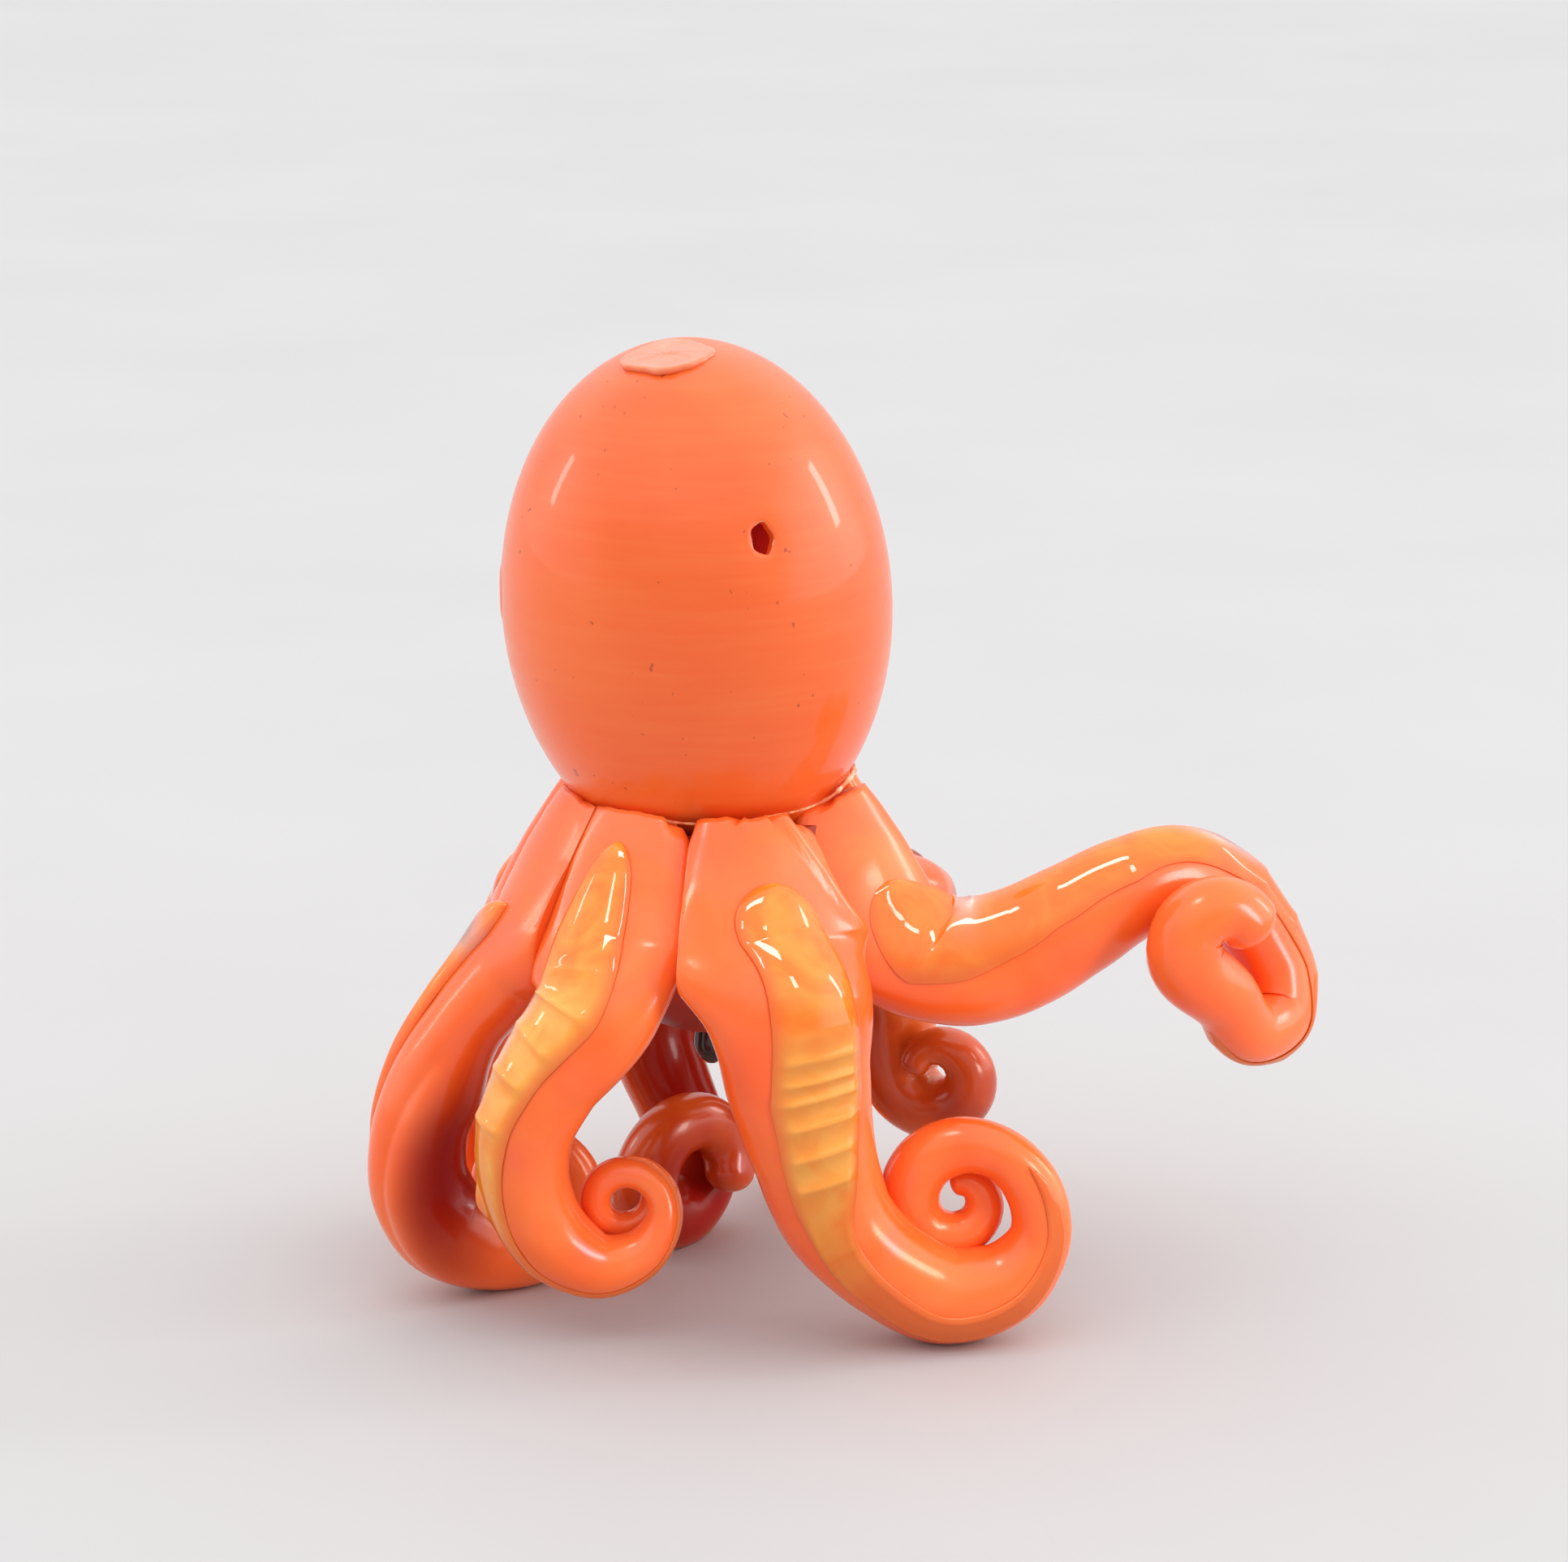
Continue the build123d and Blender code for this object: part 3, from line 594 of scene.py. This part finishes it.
def make_head():
    points = 160
    turns = full_turn(points)
    pole = eye_pole(EYE_PLACES[0])
    radius = EYE_HOLE / 2 * (0.94 + 0.05 * wobble(turns * 2, 3.0) + 0.09 * np.abs(np.sin(turns * 2.5)))
    edge = radius / FRONT_EYE_RADIUS
    spread = np.concatenate((np.linspace(0, 0.26, 34), np.linspace(0.26, 1, 110)[1:]))
    angles = edge + (math.pi - 0.004 - edge) * (spread[:, None] ** 1.35)
    shell = polar_grid(pole, angles, turns) * HEAD_HALF
    away = angles * FRONT_EYE_RADIUS
    dimple = -0.2 * np.exp(-((away - 3.0) / 2.6) ** 2) - 0.35 * np.exp(-((away - 3.0) / 0.45) ** 2)
    shell = shell + egg_normal(shell) * dimple[..., None]
    near = np.linalg.norm(shell - eye_pole(EYE_PLACES[1]) * HEAD_HALF, axis=-1)
    bed = EYE_BED_DEPTH * smooth((EYE_BED_REACH - near) / EYE_BED_EDGE)
    shell = shell - egg_normal(shell) * bed[..., None]
    axis, seat = seal_frame()
    over = np.maximum((shell * axis).sum(-1) - seat, 0)
    shell = shell - axis * (over * SEAL_CUT)[..., None]
    wall = []
    normal = egg_normal(polar_grid(pole, edge[None, :], turns) * HEAD_HALF)[0]
    for depth, grow in EYE_WALL:
        ring = polar_grid(pole, edge[None, :] * grow, turns)[0] * HEAD_HALF
        wall.append(ring - normal * depth)
    rings = np.concatenate((np.array(wall), shell))
    verts, faces = tube(head_to_body(rings))
    slots = pit_slots(faces, points)
    # Painted glint: pale faces on the hole's edge
    edge_faces = (len(wall) - 1) * points
    for first, last in EYE_GLINTS:
        for k in range(round(first / 360 * points), round(last / 360 * points)):
            slots[edge_faces + k] = 2
    new_piece("head", verts, faces, (HEAD_GLASS, PIT_SHADE_GLASS, GLINT_GLASS),
              node="head_shell", face_slots=slots)


def make_left_eye():
    points = 64
    turns = full_turn(points)
    pole = eye_pole(EYE_PLACES[1])
    rings = []
    for radius, rise in EYE_RIM:
        edge = radius * (1 + 0.08 * wobble(turns * 2, 5.0)) / LEFT_EYE_RADIUS
        ring = polar_grid(pole, edge[None, :], turns)[0] * HEAD_HALF
        rings.append(ring + egg_normal(ring) * rise)
    verts, faces = tube(head_to_body(np.array(rings)))
    new_piece("eye_rim_left", verts, faces, (HEAD_GLASS, PIT_SHADE_GLASS),
              face_slots=pit_slots(faces, points))


def make_seal():
    points = 96
    turns = full_turn(points)
    axis, seat = seal_frame()
    first = unit(np.cross((0.0, 1.0, 0.0), axis))
    second = np.cross(axis, first)
    reach = SEAL_WIDTH / 2 * (1.0 + 0.06 * wobble(turns * 3, 2.0) + 0.05 * np.cos(4 * turns))
    rings = []
    for share, rise in SEAL_PROFILE:
        flat = (first * np.cos(turns)[:, None] + second * np.sin(turns)[:, None]) * (reach * share)[:, None]
        rings.append(flat + axis * (seat + rise + 0.15 * wobble(turns * 2 + share * 5, 4.0)[:, None]))
    verts, faces = tube(head_to_body(np.array(rings)))
    new_piece("seal", verts, faces, (SEAL_GLASS,), node="crown_seal")


def make_adhesive():
    points, round_points = 220, 14
    turns = full_turn(points)
    drop = CROWN_HEIGHT - HEAD_CENTRE
    neck = HEAD_HALF[0] * math.sqrt(1 - (drop / HEAD_HALF[2]) ** 2)
    centre_radius = neck + 0.9
    fuzzy = np.exp(-((turns - 6.1) / 0.35) ** 2) + np.exp(-((turns - 0.6) / 1.1) ** 2)
    line = np.exp(-((turns - 4.0) / 0.4) ** 2)
    front = np.exp(-((turns - 5.1) / 0.7) ** 4)
    coarse = (0.06 + 0.2 * fuzzy) * wobble(turns * 31, 2.0)
    bead = 0.3 + 0.42 * fuzzy + 0.25 * line + coarse + 0.06 * wobble(turns * 9, 1.0)
    middle = drop - 0.4 - 2.2 * front
    verts, faces = [], []
    for k, turn in enumerate(turns):
        for j in range(round_points):
            angle = 2 * math.pi * j / round_points
            radius = centre_radius + bead[k] * math.cos(angle)
            height = middle[k] + bead[k] * 1.1 * math.sin(angle) + 0.3 * wobble(turn * 3, 7.0)
            verts.append((radius * math.cos(turn), radius * math.sin(turn), height))
            a, b = k * round_points + j, k * round_points + (j + 1) % round_points
            c = ((k + 1) % points) * round_points
            faces.append((a, b, c + (j + 1) % round_points, c + j))
    new_piece("adhesive_bead", head_to_body(np.array(verts)), faces, (ADHESIVE,),
              node="neck_adhesive")


def make_beak():
    points = 40
    turns = full_turn(points)
    rings = []
    for share, height in BEAK_PROFILE:
        radius = BEAK_WIDTH / 2 * share * (1 + 0.03 * wobble(turns * 2, 1.0))
        rings.append(np.stack((radius * np.cos(turns), radius * np.sin(turns),
                               np.full(points, HUB_BOTTOM + BEAK_LENGTH * height)), -1))
    verts, faces = tube(np.array(rings))
    new_piece("beak_drop", verts, faces, (BEAK_GLASS,), node="beak")


# Arms and strips

# Arms with painted brown shade, under the body: share along them at which it starts, and how strong
UNDER_BODY_SHADE = {"rear_right": (0.16, 1.0), "rear_left": (0.2, 0.85)}
# Painted dark red shade on the inner sides of bows: arm, share along it, half length, angle round it in
# degrees, half angle
SHADES = (("left", 0.5, 0.15, 272.0, 62.0), ("rear_left", 0.6, 0.3, 270.0, 80.0))
# Ends that are fuller than the rest: arm, share at which the growth starts, growth
FULLER = {"right": (0.77, 0.4), "front": (0.72, 0.55), "front_left": (0.74, 0.3), "rear_right": (0.45, 0.35),
          "rear_left": (0.5, 0.25)}
# Slimmer roots: arm, share at which that ends, width left on the rear side and on the front side
SLIMMER = {"right": (0.26, 0.62, 1.0), "rear_right": (0.28, 0.8, 0.66)}
# Bows with a deeper inner side: arm, share at both ends, growth
DEEPER = {"left": (0.3, 0.72, 0.65)}
# Root sides that spread over their neighbour below the top
OPEN_SIDES = (("front", "after"),)
# Chips in the top edges: arm, place across and width as shares of the half width, depth in mm
CHIPS = (("front", -0.42, 0.09, 2.2), ("front", -0.1, 0.2, 1.0), ("front", 0.3, 0.1, 2.4),
         ("front", 0.95, 0.3, 3.0), ("front_left", 0.9, 0.16, 2.2), ("right", -0.5, 0.2, 1.0),
         ("left", 0.6, 0.3, 1.0))
# Raised lines on arm roots: arm, share and angle at both ends, half width in mm, height in mm
CRESTS = (("front", 0.0, 62.0, 0.12, 26.0, 2.6, 1.3), ("left", 0.03, 20.0, 0.16, 34.0, 2.4, 1.0))
# Length of the chips along the arm, and of the root that is held between its neighbours, in mm
CHIP_LENGTH = 5.0
ROOT_LENGTH = 70
# Length over which a root that spreads is let go, in mm
SPREAD_FROM = 26
SPREAD_OVER = 14


def make_arm(arm, seed):
    rows = arm_rows(arm, 1.4)
    turns = full_turn(72)
    lift = np.sin(turns)
    profile = np.where(lift > 0, lift, lift * BACK_SHARE)
    width_dir = np.cross(rows.out, rows.tangent)
    waver = 1 - 0.012 * (1 + wobble(rows.run[:, None] / 9 + turns, seed))
    start, growth = FULLER.get(arm.name, (1.0, 0.0))
    waver = waver * (1 + growth * smooth((rows.share - start) / 0.15))[:, None]
    if arm.name in SLIMMER:
        reach, rear, front = SLIMMER[arm.name]
        less = np.where(width_dir[:, 1:2] * np.cos(turns) > 0, 1 - rear, 1 - front)
        waver = waver * (1 - less * smooth((reach - rows.share) / 0.1)[:, None] * np.abs(np.cos(turns)))
    if arm.name in DEEPER:
        begin, end, growth = DEEPER[arm.name]
        bump = smooth((rows.share - begin) / 0.12) * smooth((end - rows.share) / 0.12)
        waver = waver * (1 + growth * bump[:, None] * np.maximum(-lift, 0))
    x = rows.wide[:, None] * np.cos(turns) * waver
    y = rows.thick[:, None] * profile * waver
    for name, share_a, angle_a, share_b, angle_b, half, height in CRESTS:
        if name == arm.name:
            t = (rows.share - share_a) / (share_b - share_a)
            line_x = rows.wide * np.cos(np.radians(angle_a + (angle_b - angle_a) * t))
            fade = smooth((1.25 - t) / 0.5)[:, None] * (lift > 0)
            y = y + height * fade * np.exp(-((x - line_x[:, None]) / half) ** 2)
    rings = (rows.place[:, None, :] + width_dir[:, None, :] * x[..., None]
             + rows.out[:, None, :] * y[..., None])
    chip = 0.25 * (1 + wobble(np.cos(turns) * 9, seed))
    for name, place, half, depth in CHIPS:
        if name == arm.name:
            chip = chip + depth * np.exp(-(np.abs(np.cos(turns) - place) / half) ** 4)
    near_top = np.maximum(1 - rows.run / CHIP_LENGTH, 0)
    rings = rings + rows.tangent[:, None, :] * (chip * near_top[:, None])[..., None]
    tip = []
    for angle in np.linspace(0, math.pi / 2, 9)[1:]:
        left = max(0.03, math.cos(angle))
        centre = rows.place[-1] + rows.tangent[-1] * rows.thick[-1] * math.sin(angle)
        tip.append(centre + (rings[-1] - rows.place[-1]) * left)
    rings = np.concatenate((rings, np.array(tip)))
    run = np.concatenate((rows.run, np.full(len(tip), rows.run[-1])))[:, None]
    radius = np.hypot(rings[..., 0], rings[..., 1])
    zone = (run < ROOT_LENGTH) * smooth((SECTOR_RADIUS_SHARE * CROWN_RADIUS + 14 - radius) / 14)
    zone = zone * smooth((rings[..., 2] - SECTOR_BOTTOM_SHARE * CROWN_HEIGHT + 10) / 12)
    for side, normal in zip(("before", "after"), sector_planes(arm)):
        hold = zone
        if (arm.name, side) in OPEN_SIDES:
            hold = zone * smooth((SPREAD_FROM - run) / SPREAD_OVER)
        short = np.maximum(SEAM / 6 - (rings * normal).sum(-1), 0) * hold
        rings = rings + normal * short[..., None]
    rings[..., 2] = np.maximum(rings[..., 2], 0)
    shade = np.zeros(rings.shape[:2])
    along = np.concatenate((rows.share, np.ones(len(tip))))[:, None]
    # Painted shade: dark red on the inner sides of bows
    for name, place, length, angle, half in SHADES:
        if name == arm.name:
            off = (np.degrees(turns) - angle + 180) % 360 - 180
            shade = np.maximum(shade, np.exp(-((along - place) / length) ** 4 - (off / half) ** 4))
    # Painted shade: browner towards the coils of the rear arms under the body
    under_body_shade_from, most = UNDER_BODY_SHADE.get(arm.name, (0.0, 0.0))
    under_body_shade = most * smooth((along - under_body_shade_from) / 0.2) * np.ones_like(shade)
    marks = np.stack((shade, under_body_shade, shade, shade), -1)
    marks = np.vstack((marks.reshape(-1, 4), marks[0, :1], marks[-1, :1]))
    verts, faces = tube(rings)
    return new_piece("glass_arm_" + arm.name, verts, faces, (ARM_GLASS,),
                     node="arm_" + arm.name, marks=marks)


# Clear places in the strips: arm, share along the strip, half length, side across, half width
CLEAR = (("left", 0.12, 0.05, 0.0, 0.8), ("right", 0.16, 0.04, 0.7, 0.6), ("right", 0.52, 0.03, 0.2, 0.35),
         ("front_left", 0.34, 0.1, -0.9, 0.3), ("rear_right", 0.9, 0.08, 0.6, 0.5))
# Lumps pinched out of the strips: arm, share along it, half length, place across, half width, rise in mm
LUMPS = (("front_left", 0.56, 0.025, -0.75, 0.35, 1.8), ("right", 0.16, 0.04, 0.5, 0.4, 1.6))
# Share along the strip from which it is pressed into ridges, above 1 for none, and the ridge spacing in mm
PRESSED = {"left": (1.2, 9.0), "front": (0.215, 9.0), "front_left": (0.14, 9.5), "right": (0.5, 13.0)}
# Share of the arm at which the strip starts, and the length of its top taper in strip widths
TOPS = {"rear_right": (0.26, 0.8), "front": (0.066, 0.5), "front_left": (0.04, 2.4), "left": (0.15, 0.8),
        "right": (0.1, 1.1)}
# Half width in strip widths, how much slimmer the strip gets and from which share along it, share from
# which its colour fades into the arm's, least part of the arm's colour, part of the full rise
SPANS = {"front": (0.5, 0.35, 0.42, 0.5, 0.0, 1.0), "right": (0.62, 0.15, 0.4, 0.42, 0.3, 0.62),
         "front_left": (0.5, 0.1, 0.5, 0.5, 0.0, 1.0), "left": (0.5, 0.3, 0.2, 0.25, 0.0, 1.0)}
# Ridges pressed across the strips, as shares along them, and their widths
RIDGES = {"front_left": ((0.165, 0.016), (0.23, 0.012), (0.3, 0.012), (0.365, 0.012), (0.44, 0.01)),
          "front": ((0.235, 0.012), (0.262, 0.01), (0.292, 0.01), (0.322, 0.008), (0.358, 0.012),
                    (0.4, 0.01), (0.44, 0.01))}
# Strips set to the rear side of their arm: width left and shift, as shares of the half width
SHIFTED = {"left": (0.6, 0.5)}
# What most strips have of these
PLAIN_PRESS = (0.32, 9.0)
PLAIN_TAPER = 0.8
PLAIN_SPAN = (0.5, 0.0, 1.0, 0.55, 0.0, 1.0)
# Rise of the strips as a share of their thickness, depth of their lower face and least height in mm
STRIP_RISE = 0.91
STRIP_SINK = 0.25
STRIP_LOWEST = 0.05


def make_strip(arm, seed):
    across = 30
    rows = arm_rows(arm, 0.6)
    first, last = arm.strip
    start, taper = TOPS.get(arm.name, (first, PLAIN_TAPER))
    keep = (rows.share >= start) & (rows.share <= last)
    along = ((rows.share[keep] - first) / (last - first))[:, None]
    run = rows.run[keep][:, None]
    arm_wide = rows.wide[keep][:, None]
    wide = arm_wide + STRIP_FIT
    thick = rows.thick[keep][:, None] + STRIP_FIT * 0.2
    turned = rows.turned[keep][:, None]
    upper = np.clip((run - run[0]) / (taper * STRIP_WIDTH), 0, 1)
    lower = np.clip((run[-1] - run) / (1.2 * STRIP_WIDTH), 0, 1)
    swell = np.maximum(np.sqrt(1 - (1 - upper) ** 2) * np.sqrt(1 - (1 - lower) ** 2), 0.05)
    most, slim, slim_from, fade_from, plain, body = SPANS.get(arm.name, PLAIN_SPAN)
    half = np.minimum(STRIP_WIDTH * most, (0.72 + 1.2 * (most - 0.5) - 0.2 * turned) * arm_wide) * swell
    half = half * (1 - slim * smooth((along - slim_from) / 0.12))
    half = half * (1 + 0.03 * wobble(run / 9, seed) * smooth((along - 0.2) / 0.1))
    rise = STRIP_RISE * STRIP_THICKNESS * body * swell ** 0.6 * (1 - (1 - STRIP_END_SHARE) * turned)
    pressed_from, spacing = PRESSED.get(arm.name, PLAIN_PRESS)
    press = smooth((along - pressed_from) / 0.06) * smooth((1.0 - along) / 0.1)
    ridge = 1 - np.abs(np.sin(math.pi * (run / spacing + 0.12 * wobble(run / 11, seed)))) ** 0.6
    if arm.name in RIDGES:
        ridge = sum(np.exp(-np.abs(along - place) / size) for place, size in RIDGES[arm.name])
    u = np.cos(np.linspace(0, math.pi, across))
    dome = (1 - u ** 2) ** (0.6 if body == 1 else 1.1)
    plate = 0.62 * (1 - u ** 8) ** 0.5 + 0.25 * np.exp(-((np.abs(u) - 0.72) / 0.16) ** 2)
    height = rise * (dome * (1 - press) + plate * (0.4 + 0.7 * ridge * np.exp(-(u / 0.8) ** 6)) * press)
    for name, place, length, side, reach, size in LUMPS:
        if name == arm.name:
            height = height + size * np.exp(-((along - place) / length) ** 2 - ((u - side) / reach) ** 2)
    width_dir = np.cross(rows.out, rows.tangent)[keep]
    left, shift = SHIFTED.get(arm.name, (1.0, 0.0))
    x = half * (left * u + shift * np.sign(width_dir[:, 1:2]))
    seat = thick * np.sqrt(np.maximum(1 - (x / wide) ** 2, 0.05))
    upper_face = np.stack((x, seat + height), -1)
    lower_face = np.stack((x, seat - STRIP_SINK), -1)[:, ::-1][:, 1:-1]
    section = np.concatenate((upper_face, lower_face), 1)
    rings = (rows.place[keep][:, None, :] + width_dir[:, None, :] * section[..., :1]
             + rows.out[keep][:, None, :] * section[..., 1:])
    rings[..., 2] = np.maximum(rings[..., 2], STRIP_LOWEST)
    clear = np.zeros_like(x)
    for name, place, length, side, reach in CLEAR:
        if name == arm.name:
            clear = np.maximum(clear, np.exp(-((along - place) / length) ** 2 - ((u - side) / reach) ** 2))
    # Painted highlight along the ridge crests
    crest_highlight = press * np.clip(ridge, 0, 1) ** 2
    coral = np.maximum(0.8 * smooth((np.abs(u) - 0.7) / 0.3), 0.85 * smooth((along - fade_from) / 0.15))
    coral = np.maximum(coral, plain) * np.ones_like(x)
    flat = np.broadcast_to(press * (1 - slim * 2.5 * smooth((along - slim_from) / 0.1)).clip(0), x.shape)
    marks = np.stack((clear, np.broadcast_to(crest_highlight, x.shape), coral, flat), -1)
    marks = np.concatenate((marks, marks[:, ::-1][:, 1:-1]), 1).reshape(-1, 4)
    verts, faces = tube(rings)
    marks = np.vstack((marks, marks[:1], marks[-1:]))
    # Rear arms under the body get the strips with painted shade
    glass = SHADED_STRIP_GLASS if arm.name in UNDER_BODY_SHADE else STRIP_GLASS
    return new_piece("glass_strip_" + arm.name, verts, faces, (glass,),
                     node="strip_" + arm.name, marks=marks)


make_head()
make_left_eye()
make_seal()
make_adhesive()
make_beak()
limbs = bpy.data.collections.new("limbs")
strips = bpy.data.collections.new("strips")
for number, arm in enumerate(ARMS):
    limbs.objects.link(make_arm(arm, number + 1.0))
    strips.objects.link(make_strip(arm, number + 0.5))
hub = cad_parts["hub"]
hub.data.materials.clear()
hub.data.materials.append(CORE_GLASS)


# Floor, light and camera

TARGET = (AXIS_X, AXIS_Y, 0.11)


def floor_material():
    m = Nodes("floor_pale")
    cloud = m.noise(m.place(), 6.0, 4.0)
    base = m.ramp(cloud, (0.3, srgb(198, 198, 198)), (0.7, srgb(201, 201, 201)))
    m.link(base, m.shader.inputs["Base Color"])
    m.set(roughness=0.7, specular_ior_level=0.15)
    return m.material


def make_floor():
    reach = 7.0
    corners = [(-reach, -reach, 0), (reach, -reach, 0), (reach, reach, 0), (-reach, reach, 0)]
    mesh = bpy.data.meshes.new("floor")
    mesh.from_pydata(corners, [], [(0, 1, 2, 3)])
    mesh.materials.append(floor_material())
    piece = bpy.data.objects.new("floor", mesh)
    bpy.context.scene.collection.objects.link(piece)


def area_light(name, place, size, energy, only=None):
    """Soft box in metres and watts, aimed at the figure, that lights one collection or all."""
    light = bpy.data.lights.new(name, "AREA")
    light.shape = "RECTANGLE"
    light.size, light.size_y = size
    light.energy = energy
    holder = bpy.data.objects.new(name, light)
    holder.location = place
    direction = np.array(TARGET, float) - np.array(place, float)
    flat = math.hypot(direction[0], direction[1])
    holder.rotation_euler = (math.atan2(flat, -direction[2]), 0, math.atan2(-direction[0], direction[1]))
    bpy.context.scene.collection.objects.link(holder)
    if only:
        holder.light_linking.receiver_collection = only


make_floor()
area_light("left_box", (-1.5, 0.35, 0.72), (0.12, 0.42), 1.1)
area_light("right_box", (1.45, 0.35, 0.72), (0.16, 0.5), 2.4)
area_light("left_window", (-0.62, -0.95, 1.35), (0.16, 0.3), 2.2, strips)
area_light("right_window", (0.62, -0.95, 1.35), (0.16, 0.3), 2.2, strips)
area_light("high_window", (0.0, -0.45, 1.5), (0.7, 0.2), 8.0, strips)
area_light("limb_window", (0.98, -0.68, 0.36), (0.24, 0.7), 6.0, limbs)
area_light("limb_top", (-0.3, -0.5, 1.4), (0.25, 0.25), 2.6, limbs)

world = bpy.data.worlds.new("studio")
bpy.context.scene.world = world
world.use_nodes = True
sky = world.node_tree.nodes
sky_link = world.node_tree.links.new


def sky_range(value, low, high, new_low, new_high):
    """Smooth change of a number over a range of directions."""
    node = sky.new("ShaderNodeMapRange")
    node.interpolation_type = "SMOOTHSTEP"
    set_range(node, low, high, new_low, new_high)
    sky_link(value, node.inputs["Value"])
    return node.outputs["Result"]


# A white room whose front wall is dim below the ceiling and whose side walls are bright
coords = sky.new("ShaderNodeTexCoord")
direction = sky.new("ShaderNodeSeparateXYZ")
sky_link(coords.outputs["Generated"], direction.inputs["Vector"])
front_wall = sky_range(direction.outputs["Z"], 0.2, 0.65, 0.62, 1.38)
back_wall = sky_range(direction.outputs["Z"], 0.1, 0.7, 0.8, 1.42)
room = sky.new("ShaderNodeMix")
sky_link(sky_range(direction.outputs["Y"], -0.5, 0.2, 0.0, 1.0), room.inputs["Factor"])
sky_link(front_wall, room.inputs["A"])
sky_link(back_wall, room.inputs["B"])
walls = room.outputs["Result"]
for low, high, gain in ((0.7, 0.97, 1.5), (-0.75, -0.97, 0.6)):
    side_wall = sky.new("ShaderNodeMath")
    sky_link(walls, side_wall.inputs[0])
    sky_link(sky_range(direction.outputs["X"], low, high, 0.0, gain), side_wall.inputs[1])
    walls = side_wall.outputs["Value"]
sky_link(walls, sky["Background"].inputs["Strength"])
sky["Background"].inputs["Color"].default_value = (1.0, 0.99, 1.0, 1)

CAMERA_PLACE = (17.99, -1448.89, 517.24)
CAMERA_PITCH = 15.0
FOCAL_PIXELS = 7500.0
IMAGE_WIDTH = 1932.0
camera = bpy.data.cameras.new("camera")
camera.sensor_fit = "HORIZONTAL"
camera.sensor_width = 36.0
camera.lens = FOCAL_PIXELS / IMAGE_WIDTH * camera.sensor_width
camera.clip_end = 50
holder = bpy.data.objects.new("camera", camera)
holder.location = (CAMERA_PLACE[0] * MM + AXIS_X, CAMERA_PLACE[1] * MM + AXIS_Y, CAMERA_PLACE[2] * MM)
holder.rotation_euler = (math.radians(90 - CAMERA_PITCH), 0, 0)
bpy.context.scene.collection.objects.link(holder)
bpy.context.scene.camera = holder
bpy.context.scene.view_settings.view_transform = "Standard"
